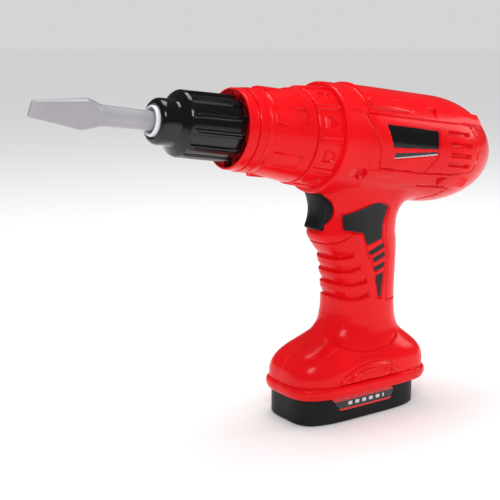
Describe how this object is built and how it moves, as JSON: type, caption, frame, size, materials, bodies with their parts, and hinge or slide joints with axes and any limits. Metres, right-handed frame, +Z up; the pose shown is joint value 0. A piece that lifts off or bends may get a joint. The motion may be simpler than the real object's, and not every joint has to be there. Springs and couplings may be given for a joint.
{
  "type": "toy power drill",
  "caption": "Toy drill-driver: clamshell pistol-grip body on a battery base, with a geared motor, sprung trigger, spinning chuck and pull-out flat blade bit.",
  "frame": {"origin": "centre of the battery door's underside, which is the face the drill stands on", "axes": "+Z up, the nose points to -X, Y = 0 is the plane between the housing halves"},
  "size_m": [0.2387, 0.0524, 0.1554],
  "materials": {
    "red_shell": "glossy red ABS",
    "black_gloss": "glossy black ABS",
    "black_satin": "satin black ABS",
    "grey_bit": "satin light grey ABS",
    "light_ring": "near-white plastic",
    "nylon": "natural nylon",
    "steel": "zinc-plated steel",
    "brass": "brass strip",
    "cell_wrap": "dark blue shrink wrap",
    "wire_skin": "red PVC insulation"
  },
  "bodies": {
    "root": {"accent_stripe_left": "black_gloss", "accent_stripe_right": "black_gloss", "battery_case": "black_satin", "battery_door": "black_satin", "battery_label_left": "black_gloss", "battery_label_right": "black_gloss", "cell_left": "cell_wrap", "cell_right": "cell_wrap", "cell_spring_left": "steel", "cell_spring_right": "steel", "contact_bridge": "brass", "contact_left": "brass", "contact_right": "brass", "door_screw": "steel", "front_bush": "nylon", "gearbox_front_plate": "black_satin", "gearbox_rear_plate": "black_satin", "grip_inlay_left": "black_satin", "grip_inlay_right": "black_satin", "housing_left": "red_shell", "housing_right": "red_shell", "housing_screw_1": "steel", "housing_screw_2": "steel", "housing_screw_3": "steel", "housing_screw_4": "steel", "housing_screw_5": "steel", "housing_screw_6": "steel", "idler_axle": "steel", "motor_can": "steel", "motor_end_cap": "nylon", "side_badge_left": "black_gloss", "side_badge_right": "black_gloss", "switch_base": "nylon", "switch_leaf_left": "brass", "switch_leaf_right": "brass", "wire_battery_motor": "wire_skin", "wire_battery_switch": "wire_skin", "wire_switch_motor": "wire_skin"},
    "chuck": {"chuck_body": "black_gloss", "chuck_sleeve": "black_gloss", "bit_socket": "light_ring", "output_spindle": "steel", "output_gear": "nylon"},
    "bit": {"screwdriver_bit": "grey_bit"},
    "idler": {"idler_gear": "nylon"},
    "rotor": {"motor_rotor": "steel", "motor_pinion": "brass"},
    "trigger": {"trigger": "black_satin", "trigger_spring": "steel"}
  },
  "joints": [
    {"name": "trigger_slide", "type": "slide", "parent": "root", "child": "trigger", "axis": [1, 0, 0], "range_m": [0, 0.004], "stiffness_N_per_m": 150, "springref_m": -0.003, "deforming": ["trigger_spring"]},
    {"name": "chuck_spin", "type": "hinge", "parent": "root", "child": "chuck", "pos_m": [-0.0326, 0, 0.1323], "axis": [0.9912, 0, -0.1323], "continuous": true},
    {"name": "idler_spin", "type": "hinge", "parent": "root", "child": "idler", "pos_m": [-0.03109, 0, 0.1436], "axis": [0.9912, 0, -0.1323], "continuous": true},
    {"name": "rotor_spin", "type": "hinge", "parent": "root", "child": "rotor", "pos_m": [-0.0326, 0, 0.1323], "axis": [0.9912, 0, -0.1323], "continuous": true},
    {"name": "bit_pull", "type": "slide", "parent": "chuck", "child": "bit", "axis": [-0.9912, 0, 0.1323], "range_m": [0, 0.02]}
  ],
  "couplings": [
    {"joint": "idler_spin", "follows": "chuck_spin", "ratio": -2.8},
    {"joint": "rotor_spin", "follows": "chuck_spin", "ratio": 7.84}
  ]
}
